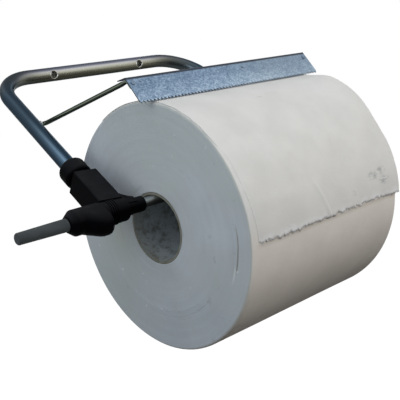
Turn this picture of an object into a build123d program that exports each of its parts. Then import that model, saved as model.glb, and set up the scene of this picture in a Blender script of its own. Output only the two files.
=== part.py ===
from build123d import *
from math import asin, atan2, cos, degrees, hypot, radians, sin, tan
import os

# A wall-mounted holder for a wide paper roll: a bent tube frame screwed to the wall, two plastic
# joints on its arms, a spindle that slides through both joints and carries the roll, and a hinged
# tear bar that rests on the roll. Millimetres. The origin lies on the wall, midway between the two
# screw holes. +X runs along the spindle, +Z is up, and the holder stands out towards -Y.

# ---------------------------------------------------------------- driving dimensions
tube_od = 17.0
tube_wall = 1.5
corner_half_width = 145.5  # from the middle to each sharp corner of the bar and arm centre lines
arm_end_half_width = 175.0  # from the middle to the point where an arm's centre line meets the spindle's
spindle_reach = 241.3  # from the wall to the spindle's axis
spindle_drop = 122.5  # from the bar's axis down to the spindle's axis
bend_radius = 50.0

hole_spacing = 136.0
screw_hole_d = 5.5
access_hole_d = 10.0

block_width = 26.4
block_shift = 0.9  # from the arm's centre line inwards to the block's
block_start = 4.5  # from the spindle's axis up the arm to the block's lower end
block_length = 55.0  # from the spindle's axis up the arm to the block's back face
block_edge_radius = 2.0
neck_d = 21.0
neck_length = 4.0
socket_offset = 34.0  # from the spindle's axis to the bottom of the tube's socket
collar_od = 29.0
collar_length = 20.0
collar_edge_radius = 4.0

barrel_d = 25.4
barrel_overhang = 50.5  # from the arm's end point outwards to the cap's outer face
cap_length = 9.0
cap_face_d = 15.4
cap_cone_length = 7.0  # from the cap's face to where the cap is as wide as the barrel
cap_edge_radius = 2.0
cap_spigot_length = 3.0
heel_depth = 10.4  # how far the heel reaches below the barrel, away from the arm
heel_outer_offset = 20.5  # from the arm's end point outwards to where the heel is full
heel_inner_offset = 11.0  # from the arm's end point outwards to where the heel ends
heel_edge_radius = 3.0
heel_bend_radius = 12.0  # where the heel's slope runs into its full depth
barrel_straight_length = 5.0  # from the cap inwards to where the heel begins
boss_d = 24.4
boss_end_offset = 17.5  # from the arm's end point inwards to the end of the ribbed boss
boss_edge_radius = 2.5
rib_height = 0.8
rib_count = 4
rib_pitch = 2.5
rib_width = 1.3
rib_offset = 5.5  # from the heel's end to the first rib
nose_d = 15.6
nose_length = 22.5  # beyond the ribbed boss
nose_shank_length = 12.0
nose_edge_radius = 1.0
web_width = 17.0
web_height = 24.0  # from the spindle's axis up the block
web_length = 15.0  # from the block's face along the nose
web_hollow_ratio = 1.05  # the radius of the web's hollow edge over its chord

rod_d = 10.0
rod_end_clearance = 3.0  # from the rod's plain end to the right cap's outer face
rod_chamfer = 1.0
grip_length = 52.0
grip_root_d = 12.8
grip_tip_d = 11.2
grip_hole_depth = 40.0
grip_gap = 0.5
grip_edge_radius = 1.6
ring_section_d = 3.0
ring_groove_clearance = 0.1
lock_screw_d = 5.0
lock_screw_offset = 44.0  # from the spindle's axis up the arm
lock_screw_recess = 0.6
lock_socket_d = 2.8
lock_socket_depth = 1.6

roll_d = 260.0
roll_length = 239.0
roll_edge_radius = 3.0
tail_thickness = 0.5
tail_front_angle = 0.5  # below the horizontal, at the front
tail_span_angle = 125.0
tail_slip = 4.8  # how far the outermost sheet has slipped towards the far end
core_bore_d = 70.0
core_wall = 2.5
core_hang_gap = 0.3  # between the rod's top and the core that hangs on it

plate_length = 274.0
plate_thickness = 1.0
plate_face_width = 31.1
plate_face_slope = 49.7
plate_flange_width = 12.5
plate_flange_slope = 13.3
plate_bend_radius = 0.8
tooth_gap = 0.2  # between the tooth tips and the full roll
tooth_ahead_angle = 7.0  # how far the tips lie in front of the roll's top
tooth_count = 60
tooth_depth = 2.3
tooth_tip_width = 0.5
rivet_end_offset = 5.5  # from the plate's end
rivet_offset = 7.5  # from the fold down the face
rivet_d = 3.0
rivet_head_d = 4.6
rivet_head_height = 0.9

bail_d = 5.0
pivot_distance = 100.3  # from the sharp corner down the arm to the tear bar's hinge
bail_side_gap = 0.7  # from the pivot bush's flange to where the pin starts to bend
bail_bend_radius = 5.0
bail_pin_end_gap = 2.0  # from the pin's end to the far wall of the tube
tab_width = 9.0
tab_thickness = 2.0
tab_corner_radius = 2.2
tab_length = 11.0
tab_offset = 1.4  # from the fold down the face
bail_meet_offset = 2.4  # from the fold down the face to where the rod's flattened end meets the tab
flatten_length = 12.0
pivot_bush_d = 6.6
pivot_flange_d = 8.0
pivot_flange_thickness = 1.0
pivot_bush_inner_length = 3.0

running_clearance = 0.05  # between a shaft and its bore, all round
loose_clearance = 0.6  # around the rod where nothing guides it

# ---------------------------------------------------------------- derived geometry
tube_r = tube_od / 2
bar_y = -tube_r
arm_reach = spindle_reach - tube_r
frame_tilt = degrees(atan2(spindle_drop, arm_reach))

# The frame's own plane holds the bar and both arms: X runs along the bar, Y up the arms.
frame_plane = Plane(
    origin=(0, bar_y, 0),
    x_dir=(1, 0, 0),
    z_dir=(0, -sin(radians(frame_tilt)), cos(radians(frame_tilt))),
)

# The left arm's planes stand across its centre line: Z points up the arm, X across the frame.
left_corner = Vector(-corner_half_width, bar_y, 0)
left_arm_end = Vector(-arm_end_half_width, -spindle_reach, -spindle_drop)
up_arm = (left_corner - left_arm_end).normalized()
across_arm = (Vector(1, 0, 0) - up_arm * up_arm.X).normalized()
arm_plane = Plane(origin=left_arm_end, x_dir=across_arm, z_dir=up_arm)

spindle_point = Vector(0, -spindle_reach, -spindle_drop)
spindle_axis = Axis(spindle_point, (1, 0, 0))
# Profiles of round pieces on the spindle: X along the spindle, Y is the radius.
spindle_profile = Plane(origin=spindle_point, x_dir=(1, 0, 0), z_dir=(0, -1, 0))

rod_r = rod_d / 2
guide_r = rod_r + running_clearance
loose_r = rod_r + loose_clearance
cap_face_x = -(arm_end_half_width + barrel_overhang)
cap_inner_x = cap_face_x + cap_length
boss_end_x = -(arm_end_half_width - boss_end_offset)
nose_end_x = boss_end_x + nose_length
nose_start_x = boss_end_x - nose_shank_length

core_r = core_bore_d / 2
roll_r = roll_d / 2
roll_axis_z = -spindle_drop + rod_r + core_hang_gap - core_r
roll_point = Vector(0, -spindle_reach, roll_axis_z)
across_roll = Plane(origin=roll_point, x_dir=(0, 1, 0), z_dir=(1, 0, 0))

tooth_radius = roll_r + tooth_gap
tooth_tip = Vector(
    0,
    -spindle_reach - tooth_radius * sin(radians(tooth_ahead_angle)),
    roll_axis_z + tooth_radius * cos(radians(tooth_ahead_angle)),
)
face_up = Vector(0, cos(radians(plate_face_slope)), sin(radians(plate_face_slope)))
face_out = Vector(0, -sin(radians(plate_face_slope)), cos(radians(plate_face_slope)))
flange_back = Vector(0, cos(radians(plate_flange_slope)), -sin(radians(plate_flange_slope)))
fold = tooth_tip + face_out * plate_thickness + face_up * plate_face_width
# The plate's outer face: X along the plate, Y up the face, and Z out of the sheet.
face_plane = Plane(origin=fold, x_dir=(1, 0, 0), z_dir=face_out)

pivot_point = left_corner - up_arm * pivot_distance
pivot_y, pivot_z = pivot_point.Y, pivot_point.Z
rivet_half_width = plate_length / 2 - rivet_end_offset


# ---------------------------------------------------------------- tube frame
with BuildPart() as frame_tube:
    with BuildLine(frame_plane) as centre_line:
        tube_end = frame_plane.to_local_coords(left_arm_end + up_arm * socket_offset)
        FilletPolyline(
            (tube_end.X, tube_end.Y),
            (-corner_half_width, 0),
            (corner_half_width, 0),
            (-tube_end.X, tube_end.Y),
            radius=bend_radius,
        )
    with BuildSketch(Plane(origin=centre_line.line @ 0, z_dir=centre_line.line % 0)):
        Circle(tube_r)
        Circle(tube_r - tube_wall, mode=Mode.SUBTRACT)
    sweep(path=centre_line.line)
    # Each wall fixing has a screw hole at the back and a wide hole for the screw's head in front.
    with BuildSketch(Plane(origin=(0, bar_y, 0), x_dir=(1, 0, 0), z_dir=(0, -1, 0))):
        with GridLocations(hole_spacing, 0, 2, 1):
            Circle(access_hole_d / 2)
    extrude(amount=tube_od, mode=Mode.SUBTRACT)
    with BuildSketch(Plane(origin=(0, bar_y, 0), x_dir=(1, 0, 0), z_dir=(0, 1, 0))):
        with GridLocations(hole_spacing, 0, 2, 1):
            Circle(screw_hole_d / 2)
    extrude(amount=tube_od, mode=Mode.SUBTRACT)
    # The tear bar's two bushes sit in the inner wall of each arm.
    with BuildSketch(Plane(origin=(0, pivot_y, pivot_z), x_dir=(0, 1, 0), z_dir=(1, 0, 0))):
        Circle(pivot_bush_d / 2)
    extrude(amount=abs(pivot_point.X), both=True, mode=Mode.SUBTRACT)


# ---------------------------------------------------------------- left joint and what it holds
heel_outer_x = -(arm_end_half_width + heel_outer_offset)
heel_inner_x = -(arm_end_half_width + heel_inner_offset)
heel_start_x = cap_inner_x + barrel_straight_length
ring_seat_r = rod_r + running_clearance + ring_section_d + ring_groove_clearance
ring_seat_x = cap_inner_x + cap_spigot_length + ring_section_d + ring_groove_clearance
nose_r = nose_d / 2
web_hollow_radius = web_hollow_ratio * hypot(web_length, web_height - nose_r)
# Sections across the spindle, whose X points away from the arm, the way the heel reaches.
heel_way = Vector(0, -up_arm.Y, -up_arm.Z)
barrel_plane, heel_slope_plane, heel_full_plane = [
    Plane(origin=(x, spindle_point.Y, spindle_point.Z), x_dir=heel_way, z_dir=(1, 0, 0))
    for x in (cap_inner_x, heel_start_x, heel_outer_x)
]

with BuildPart() as left_joint:
    # The barrel on the spindle grows on the side away from the arm into a heel.
    with BuildSketch(barrel_plane):
        Circle(barrel_d / 2)
    extrude(amount=heel_inner_x - cap_inner_x)
    for plane, depth in ((heel_slope_plane, heel_depth / 100), (heel_full_plane, heel_depth)):
        with BuildSketch(plane):
            SlotCenterPoint((depth / 2, 0), (depth, 0), barrel_d)
    loft()
    with BuildSketch(heel_full_plane):
        SlotCenterPoint((heel_depth / 2, 0), (heel_depth, 0), barrel_d)
    extrude(amount=heel_inner_x - heel_outer_x)
    fillet(faces().sort_by(Axis.X)[-1].edges(), radius=heel_edge_radius)
    heel_bends = edges().filter_by(GeomType.CIRCLE).filter_by_position(
        Axis.X, heel_outer_x - heel_edge_radius, heel_outer_x + heel_edge_radius
    )
    fillet(heel_bends, radius=heel_bend_radius)
    # The square block takes the tube's end, and its neck stands against the collar.
    with BuildSketch(arm_plane.offset(block_start)):
        with Locations((block_shift, 0)):
            RectangleRounded(block_width, block_width, block_edge_radius)
    extrude(amount=block_length - block_start)
    with BuildSketch(arm_plane.offset(block_length)):
        Circle(neck_d / 2)
    extrude(amount=neck_length)
    # A boss with ribs round it runs on inwards from the heel.
    with BuildSketch(spindle_profile):
        with BuildLine():
            Polyline(
                (heel_inner_x - heel_edge_radius, 0),
                (heel_inner_x - heel_edge_radius, boss_d / 2),
                (boss_end_x, boss_d / 2),
                (boss_end_x, 0),
                close=True,
            )
        make_face()
        fillet(vertices().group_by(Axis.X)[-1].sort_by(Axis.Y)[-1], radius=boss_edge_radius)
    revolve(axis=spindle_axis)
    with BuildSketch(spindle_profile):
        with Locations(
            *[
                (heel_inner_x + rib_offset + rib_pitch * step, boss_d / 2)
                for step in range(rib_count)
            ]
        ):
            Rectangle(rib_width, 2 * rib_height)
    revolve(axis=spindle_axis)
    # A web with a hollow edge braces the block against the nose.
    with BuildSketch(Plane(origin=left_arm_end, x_dir=across_arm, z_dir=frame_plane.z_dir)):
        block_face_x = block_shift + block_width / 2
        web_foot_x = block_face_x - block_edge_radius
        web_toe_x = block_face_x + web_length
        with BuildLine():
            Line((web_foot_x, 0), (web_foot_x, web_height))
            Line((web_foot_x, web_height), (block_face_x, web_height))
            RadiusArc((block_face_x, web_height), (web_toe_x, nose_r), -web_hollow_radius)
            Line((web_toe_x, nose_r), (web_toe_x, 0))
            Line((web_toe_x, 0), (web_foot_x, 0))
        make_face()
    extrude(amount=web_width / 2, both=True)
    # Bores: the tube's socket, the spindle's way through, the ring's seat and the nose's seat.
    with BuildSketch(arm_plane.offset(socket_offset)):
        Circle(tube_r)
    extrude(amount=block_length + neck_length, mode=Mode.SUBTRACT)
    with BuildSketch(spindle_profile):
        with BuildLine():
            Polyline(
                (cap_face_x, 0),
                (cap_face_x, ring_seat_r),
                (ring_seat_x, ring_seat_r),
                (ring_seat_x, loose_r),
                (nose_start_x, loose_r),
                (nose_start_x, nose_r),
                (nose_end_x, nose_r),
                (nose_end_x, 0),
                close=True,
            )
        make_face()
    revolve(axis=spindle_axis, mode=Mode.SUBTRACT)
    # A tapped hole in the block's underside takes the screw that locks the tube.
    with BuildSketch(Plane(origin=left_arm_end + up_arm * lock_screw_offset, z_dir=-frame_plane.z_dir)):
        Circle(lock_screw_d / 2)
    extrude(amount=block_width, mode=Mode.SUBTRACT)

with BuildPart() as left_tube_collar:
    with BuildSketch(arm_plane.offset(block_length + neck_length)):
        Circle(collar_od / 2)
        Circle(tube_r, mode=Mode.SUBTRACT)
    extrude(amount=collar_length)
    fillet(
        edges().filter_by(GeomType.CIRCLE).group_by(SortBy.RADIUS)[-1], radius=collar_edge_radius
    )

with BuildPart() as left_barrel_cap:
    with BuildSketch(spindle_profile):
        with BuildLine():
            Polyline(
                (cap_face_x, guide_r),
                (cap_face_x, cap_face_d / 2),
                (cap_face_x + cap_cone_length, barrel_d / 2),
                (cap_inner_x, barrel_d / 2),
                (cap_inner_x, ring_seat_r),
                (cap_inner_x + cap_spigot_length, ring_seat_r),
                (cap_inner_x + cap_spigot_length, guide_r),
                close=True,
            )
        make_face()
        cap_corners = vertices().sort_by(Axis.Y)[-2:].sort_by(Axis.X)[:1]
        cap_corners += vertices().group_by(Axis.X)[0].sort_by(Axis.Y)[-1:]
        fillet(cap_corners, radius=cap_edge_radius)
    revolve(axis=spindle_axis)

with BuildPart() as left_nose_bush:
    with BuildSketch(spindle_profile):
        with BuildLine():
            Polyline(
                (nose_start_x, guide_r),
                (nose_start_x, nose_r),
                (nose_end_x, nose_r),
                (nose_end_x, guide_r),
                close=True,
            )
        make_face()
        fillet(vertices().group_by(Axis.X)[-1].sort_by(Axis.Y)[-1], radius=nose_edge_radius)
    revolve(axis=spindle_axis)

with BuildPart() as left_friction_ring:
    with BuildSketch(spindle_profile):
        ring_x = cap_inner_x + cap_spigot_length + ring_section_d / 2
        with Locations((ring_x, rod_r + running_clearance + ring_section_d / 2)):
            Circle(ring_section_d / 2)
    revolve(axis=spindle_axis)

with BuildPart() as lock_screws:
    screw_plane = Plane(
        origin=left_arm_end + up_arm * lock_screw_offset, z_dir=-frame_plane.z_dir
    ).offset(tube_r)
    screw_length = block_width / 2 - tube_r - lock_screw_recess
    with BuildSketch(screw_plane):
        Circle(lock_screw_d / 2)
    extrude(amount=screw_length)
    with BuildSketch(screw_plane.offset(screw_length)):
        RegularPolygon(lock_socket_d / 2, 6)
    extrude(amount=-lock_socket_depth, mode=Mode.SUBTRACT)
    mirror(about=Plane.YZ)

# ---------------------------------------------------------------- left side of the tear bar's hinge
arm_splay = asin(abs(up_arm.X))
tube_wall_x = pivot_point.X + tube_r / cos(arm_splay) + pivot_flange_d / 2 * tan(arm_splay)
bush_end_x = tube_wall_x + pivot_flange_thickness
pin_end_x = pivot_point.X - tube_r + tube_wall + bail_pin_end_gap
pivot_profile = Plane(origin=(0, pivot_y, pivot_z), x_dir=(1, 0, 0), z_dir=(0, -1, 0))
pivot_axis = Axis((0, pivot_y, pivot_z), (1, 0, 0))
bail_bore_r = bail_d / 2 + running_clearance

with BuildPart() as left_pivot_bush:
    with BuildSketch(pivot_profile):
        with BuildLine():
            Polyline(
                (tube_wall_x - pivot_bush_inner_length, bail_bore_r),
                (tube_wall_x - pivot_bush_inner_length, pivot_bush_d / 2),
                (tube_wall_x, pivot_bush_d / 2),
                (tube_wall_x, pivot_flange_d / 2),
                (bush_end_x, pivot_flange_d / 2),
                (bush_end_x, bail_bore_r),
                close=True,
            )
        make_face()
    revolve(axis=pivot_axis)

# ---------------------------------------------------------------- tear bar
with BuildPart() as tear_plate:
    # The sheet is bent along the fold into a face towards the roll and a flange towards the wall.
    with BuildSketch(Plane(origin=fold, x_dir=(0, 1, 0), z_dir=(1, 0, 0))):
        with BuildLine():
            face_end = -face_up * plate_face_width
            flange_end = flange_back * plate_flange_width
            FilletPolyline(
                (face_end.Y, face_end.Z),
                (0, 0),
                (flange_end.Y, flange_end.Z),
                radius=plate_bend_radius,
            )
            offset(amount=plate_thickness, side=Side.RIGHT)
        make_face()
    extrude(amount=plate_length / 2, both=True)
    tooth_pitch = plate_length / tooth_count
    notch_half_width = (tooth_pitch - tooth_tip_width) / 2
    with BuildSketch(face_plane):
        with Locations((0, -plate_face_width)):
            with GridLocations(tooth_pitch, 0, tooth_count + 1, 1):
                Polygon(
                    (-notch_half_width, 0), (0, tooth_depth), (notch_half_width, 0), align=None
                )
    extrude(amount=plate_thickness, both=True, mode=Mode.SUBTRACT)
    with BuildSketch(face_plane):
        with Locations((0, -rivet_offset)):
            with GridLocations(2 * rivet_half_width, 0, 2, 1):
                Circle(rivet_d / 2)
    extrude(amount=plate_thickness, both=True, mode=Mode.SUBTRACT)

with BuildPart() as left_bail_arm:
    bail_corner = Vector(bush_end_x + bail_side_gap + bail_bend_radius, pivot_y, pivot_z)
    bail_end = (
        fold
        - face_out * (plate_thickness + tab_thickness / 2)
        - face_up * bail_meet_offset
        - Vector(rivet_half_width, 0, 0)
    )
    bail_way = (bail_end - bail_corner).normalized()
    flatten_start = bail_end - bail_way * flatten_length
    across_bail = Vector(1, 0, 0) - bail_way * bail_way.X
    with BuildLine() as bail_line:
        FilletPolyline(
            (pin_end_x, pivot_y, pivot_z), bail_corner, flatten_start, radius=bail_bend_radius
        )
    with BuildSketch(Plane(origin=bail_line.line @ 0, z_dir=bail_line.line % 0)):
        Circle(bail_d / 2)
    sweep(path=bail_line.line)
    # The rod is hammered flat under the flange, and its tab lies against the back of the face.
    with BuildSketch(Plane(origin=flatten_start, x_dir=across_bail, z_dir=bail_way)):
        Circle(bail_d / 2)
    with BuildSketch(Plane(origin=bail_end, x_dir=across_bail, z_dir=bail_way)):
        Rectangle(tab_width, tab_thickness)
    loft()
    with BuildSketch(face_plane.offset(-plate_thickness)):
        with Locations((-rivet_half_width, -tab_offset - tab_length / 2)):
            RectangleRounded(tab_width, tab_length, tab_corner_radius)
        with Locations((-rivet_half_width, -rivet_offset)):
            Circle(rivet_d / 2, mode=Mode.SUBTRACT)
    extrude(amount=-tab_thickness)

with BuildPart() as plate_rivets:
    grip_depth = plate_thickness + tab_thickness
    for plane, amount in (
        (face_plane, rivet_head_height),
        (face_plane.offset(-grip_depth), -rivet_head_height),
    ):
        with BuildSketch(plane):
            with Locations((0, -rivet_offset)):
                with GridLocations(2 * rivet_half_width, 0, 2, 1):
                    Circle(rivet_head_d / 2)
        extrude(amount=amount)
    with BuildSketch(face_plane):
        with Locations((0, -rivet_offset)):
            with GridLocations(2 * rivet_half_width, 0, 2, 1):
                Circle(rivet_d / 2)
    extrude(amount=-grip_depth)

# ---------------------------------------------------------------- spindle
rod_end_x = -cap_face_x - rod_end_clearance
grip_root_x = cap_face_x - grip_gap
grip_tip_x = grip_root_x - grip_length
rod_start_x = grip_root_x - grip_hole_depth

with BuildPart() as spindle_rod:
    with BuildSketch(Plane(origin=(rod_start_x, spindle_point.Y, spindle_point.Z), z_dir=(1, 0, 0))):
        Circle(rod_r)
    extrude(amount=rod_end_x - rod_start_x)
    chamfer(edges().filter_by(GeomType.CIRCLE), length=rod_chamfer)

with BuildPart() as spindle_grip:
    with BuildSketch(spindle_profile):
        with BuildLine():
            Polyline(
                (grip_tip_x, 0),
                (grip_tip_x, grip_tip_d / 2),
                (grip_root_x, grip_root_d / 2),
                (grip_root_x, rod_r),
                (rod_start_x, rod_r),
                (rod_start_x, 0),
                close=True,
            )
        make_face()
        fillet(vertices().group_by(Axis.X)[0].sort_by(Axis.Y)[-1], radius=grip_edge_radius)
    revolve(axis=spindle_axis)

# ---------------------------------------------------------------- paper roll
paper_r = roll_r - tail_thickness

with BuildPart() as roll_core:
    with BuildSketch(across_roll):
        Circle(core_r + core_wall)
        Circle(core_r, mode=Mode.SUBTRACT)
    extrude(amount=roll_length / 2, both=True)

with BuildPart() as paper_roll:
    with BuildSketch(across_roll):
        Circle(paper_r)
        Circle(core_r + core_wall, mode=Mode.SUBTRACT)
    extrude(amount=roll_length / 2, both=True)
    fillet(
        edges().filter_by(GeomType.CIRCLE).group_by(SortBy.RADIUS)[-1], radius=roll_edge_radius
    )

with BuildPart() as paper_tail:
    # The outermost sheet has slipped sideways and hangs over the front, down to its torn edge.
    with BuildSketch(across_roll.offset(tail_slip)):
        with BuildLine():
            tail_end_angle = 180 + tail_front_angle
            outer = CenterArc((0, 0), roll_r, tail_end_angle, -tail_span_angle)
            inner = CenterArc((0, 0), paper_r, tail_end_angle, -tail_span_angle)
            Line(outer @ 0, inner @ 0)
            Line(outer @ 1, inner @ 1)
        make_face()
    extrude(amount=roll_length / 2 - roll_edge_radius, both=True)

# ---------------------------------------------------------------- both sides, names and files
mirrored = {
    "joint": left_joint,
    "tube_collar": left_tube_collar,
    "barrel_cap": left_barrel_cap,
    "nose_bush": left_nose_bush,
    "friction_ring": left_friction_ring,
    "pivot_bush": left_pivot_bush,
    "bail_arm": left_bail_arm,
}
single = {
    "frame_tube": frame_tube,
    "lock_screws": lock_screws,
    "tear_plate": tear_plate,
    "plate_rivets": plate_rivets,
    "spindle_rod": spindle_rod,
    "spindle_grip": spindle_grip,
    "roll_core": roll_core,
    "paper_roll": paper_roll,
    "paper_tail": paper_tail,
}

os.makedirs("parts", exist_ok=True)
pieces = {name: piece.part for name, piece in single.items()}
for name, piece in mirrored.items():
    pieces["left_" + name] = piece.part
    pieces["right_" + name] = mirror(piece.part, about=Plane.YZ)
for name, piece in pieces.items():
    piece.label = name
    export_step(piece, f"parts/{name}.step")
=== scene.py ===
import random
from math import cos, degrees, pi, radians, sin

import bpy
from mathutils import Euler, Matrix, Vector, noise


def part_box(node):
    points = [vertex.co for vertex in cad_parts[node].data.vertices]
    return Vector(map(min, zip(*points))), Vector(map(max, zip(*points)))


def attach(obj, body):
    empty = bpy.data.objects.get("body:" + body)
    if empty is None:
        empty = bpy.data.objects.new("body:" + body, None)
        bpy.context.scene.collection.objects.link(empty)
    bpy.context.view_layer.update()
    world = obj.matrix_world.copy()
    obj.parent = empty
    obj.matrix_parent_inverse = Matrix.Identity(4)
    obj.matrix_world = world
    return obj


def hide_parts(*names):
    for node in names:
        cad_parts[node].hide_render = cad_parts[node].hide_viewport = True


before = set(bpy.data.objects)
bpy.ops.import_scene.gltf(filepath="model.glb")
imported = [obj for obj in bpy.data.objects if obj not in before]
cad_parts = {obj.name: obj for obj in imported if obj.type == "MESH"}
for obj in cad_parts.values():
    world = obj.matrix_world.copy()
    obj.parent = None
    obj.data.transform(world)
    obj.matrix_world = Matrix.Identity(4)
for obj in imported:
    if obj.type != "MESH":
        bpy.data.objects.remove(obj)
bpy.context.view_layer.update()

bl_info = {
    "name": "Paper towel holder finishes",
    "version": (1, 0, 0),
    "blender": (4, 5, 0),
    "location": "3D View > Sidebar > Holder",
    "description": "Dresses a wall-mounted paper towel holder and winds its roll of paper",
    "category": "Object",
}

MM = 0.001
WHITE = (1.0, 1.0, 1.0, 1.0)

# The roll's own measures, read from the fixed frame. Angles on the roll start at its top and
# grow towards the front, so the front is at 90 degrees and the underside at 180. The roll's
# near end is the one by the grip (-X), and its far end is the plain one (+X).
ROLL_LOW, ROLL_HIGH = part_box("paper_roll")
CORE_LOW, CORE_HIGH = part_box("roll_core")
AXIS_Y = (ROLL_LOW.y + ROLL_HIGH.y) / 2
AXIS_Z = (ROLL_LOW.z + ROLL_HIGH.z) / 2
ROLL_RADIUS = (ROLL_HIGH.z - ROLL_LOW.z) / 2
ROLL_HALF = (ROLL_HIGH.x - ROLL_LOW.x) / 2
CORE_RADIUS = (CORE_HIGH.z - CORE_LOW.z) / 2
# In front, the layers outside this radius have slipped back a little along the axis.
SLIPPED_RADIUS = 111.0 * MM
# Where the tear bar's teeth rest on the roll, in degrees.
TEETH_ANGLE = 6.5

# The frame's tube, whose bar lies along the wall, and the bar's two access holes.
TUBE_RADIUS = 8.5 * MM
HOLE_RADIUS = 5.0 * MM
HOLE_RIM_RADIUS = 0.5 * MM
HOLE_PLACES = (-68.0 * MM, 68.0 * MM)

# What the torn edge keeps of the tear bar's teeth: their spacing along the roll.
TOOTH_PITCH = 4.57 * MM


# ---- settings
def a_length(name, description, default, **limits):
    return bpy.props.FloatProperty(name=name, description=description, default=default,
                                   subtype="DISTANCE", unit="LENGTH", **limits)


def an_angle(name, description, turned):
    return bpy.props.FloatProperty(name=name, description=description, default=radians(turned),
                                   subtype="ANGLE", unit="ROTATION")


def a_power(name, description, default):
    return bpy.props.FloatProperty(name=name, description=description, default=default, min=0.0,
                                   unit="POWER")


def a_colour(name, description, default):
    return bpy.props.FloatVectorProperty(name=name, description=description, default=default,
                                         subtype="COLOR", size=3)


def a_count(name, description, default, **limits):
    return bpy.props.IntProperty(name=name, description=description, default=default, **limits)


class RollSettings(bpy.types.PropertyGroup):
    edge_radius: a_length("Edge radius", "Rounding of the wound paper's two rims",
                          3.2 * MM, min=0.0)
    slack: a_length("Slack", "Deepest hollow in the wound paper's side", 0.6 * MM, min=0.0)
    swell: a_length("Swell", "How far the loose layers at the plain end stand out",
                    6.0 * MM, min=0.0)
    face_wander: a_length("Face wander", "How far the layers stray in and out of the two faces",
                          0.7 * MM, min=0.0)
    face_step: a_length("Face step", "How far the outer layers have slipped back on the faces",
                        0.65 * MM, min=0.0)
    layer_count: a_count("Proud layers", "Layers that stand a little proud of each face", 14, min=2)
    layer_height: a_length("Layer height", "How far such a layer stands out of the face",
                           0.2 * MM, min=0.0)
    seed: a_count("Seed", "Seed of the proud layers' places", 7)


class TailSettings(bpy.types.PropertyGroup):
    thickness: a_length("Thickness", "Thickness of the outermost sheet", 0.35 * MM, min=0.0)
    near_end: a_length("Grip end", "Where the sheet's side lies at the roll's end by the grip",
                       -118.2 * MM)
    far_end: a_length("Plain end", "Where the sheet's other side lies", 122.6 * MM)
    tear_angle: an_angle("Torn edge", "Angle of the torn edge, from the roll's top", 90.1)
    back_angle: an_angle("Back edge", "Angle behind the top where the sheet joins the layer below",
                         34.0)
    tooth_depth: a_length("Tear depth", "Depth of the serrations left by the tear bar's teeth",
                          1.3 * MM, min=0.0)
    lift: a_length("Lift", "How far the torn edge stands off the roll", 0.45 * MM, min=0.0)
    fibre_count: a_count("Fibres", "Loose fibres along the torn edge", 320, min=1)
    fibre_length: a_length("Fibre length", "Length of a loose fibre", 1.9 * MM, min=0.0)
    seed: a_count("Seed", "Seed of the fibres' turns and sizes", 3)


class FinishSettings(bpy.types.PropertyGroup):
    tissue: a_colour("Outer sheet", "Colour of the outermost sheet", (0.655, 0.642, 0.618))
    wound: a_colour("Wound paper", "Colour of the paper under the outermost sheet",
                    (0.70, 0.655, 0.60))
    # The layers' edges are darker and bluer than the side: painted shade and painted cool light.
    shaded_face_tint: a_colour("Layer edges", "Colour of the layers' edges on the two faces",
                          (0.515, 0.535, 0.555))
    card: a_colour("Card", "Colour of the core", (0.43, 0.465, 0.48))
    plastic: a_colour("Black plastic", "Colour of the joints", (0.0009, 0.0010, 0.0013))
    grip: a_colour("Grip plastic", "Colour of the spindle's grip", (0.036, 0.041, 0.043))


class StageSettings(bpy.types.PropertyGroup):
    floor_drop: a_length("Floor drop", "How far the floor lies below the origin", 0.9, min=0.3)
    key_power: a_power("Key light", "Power of the main soft lamp", 24.0)
    side_power: a_power("Side light", "Power of the soft lamp on the grip's side", 9.6)
    back_power: a_power("Back light", "Power of the soft lamp behind the plain end", 8.0)
    zenith: a_colour("Sky above", "Colour of the light from straight above", (0.55, 0.575, 0.605))
    horizon: a_colour("Sky level", "Colour of the light from all round", (0.355, 0.375, 0.40))


def settings(name):
    return getattr(bpy.context.scene, "holder_" + name)


# ---- points and meshes
def on_roll(x, radius, angle):
    """A point of the roll from its place along the axis, its radius and its angle."""
    return (x, AXIS_Y - radius * sin(angle), AXIS_Z + radius * cos(angle))


def soft_step(low, high, value):
    """0 below low, 1 above high, and smooth in between."""
    share = min(max((value - low) / (high - low), 0.0), 1.0)
    return share * share * (3 - 2 * share)


def noise_at(*place):
    """Smooth noise, about -1 to 1, at a place."""
    return noise.noise(Vector(place))


def link_object(name, data):
    made = bpy.data.objects.new(name, data)
    bpy.context.scene.collection.objects.link(made)
    return made


def smooth_faces(data):
    data.polygons.foreach_set("use_smooth", [True] * len(data.polygons))


def add_mesh(name, points, faces, material=None):
    """A mesh object at the origin from points and faces given in the part's own frame."""
    data = bpy.data.meshes.new(name)
    data.from_pydata(points, [], faces)
    data.validate()
    data.update()
    if material:
        data.materials.append(material)
    smooth_faces(data)
    return link_object(name, data)


def add_lines(name, points, edges):
    """A mesh object of bare edges, which a geometry tree turns into a solid."""
    data = bpy.data.meshes.new(name)
    data.from_pydata(points, edges, [])
    return link_object(name, data)


def dress(material, *nodes):
    """Gives CAD nodes a finish."""
    for name in nodes:
        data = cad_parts[name].data
        data.materials.clear()
        data.materials.append(material)


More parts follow.
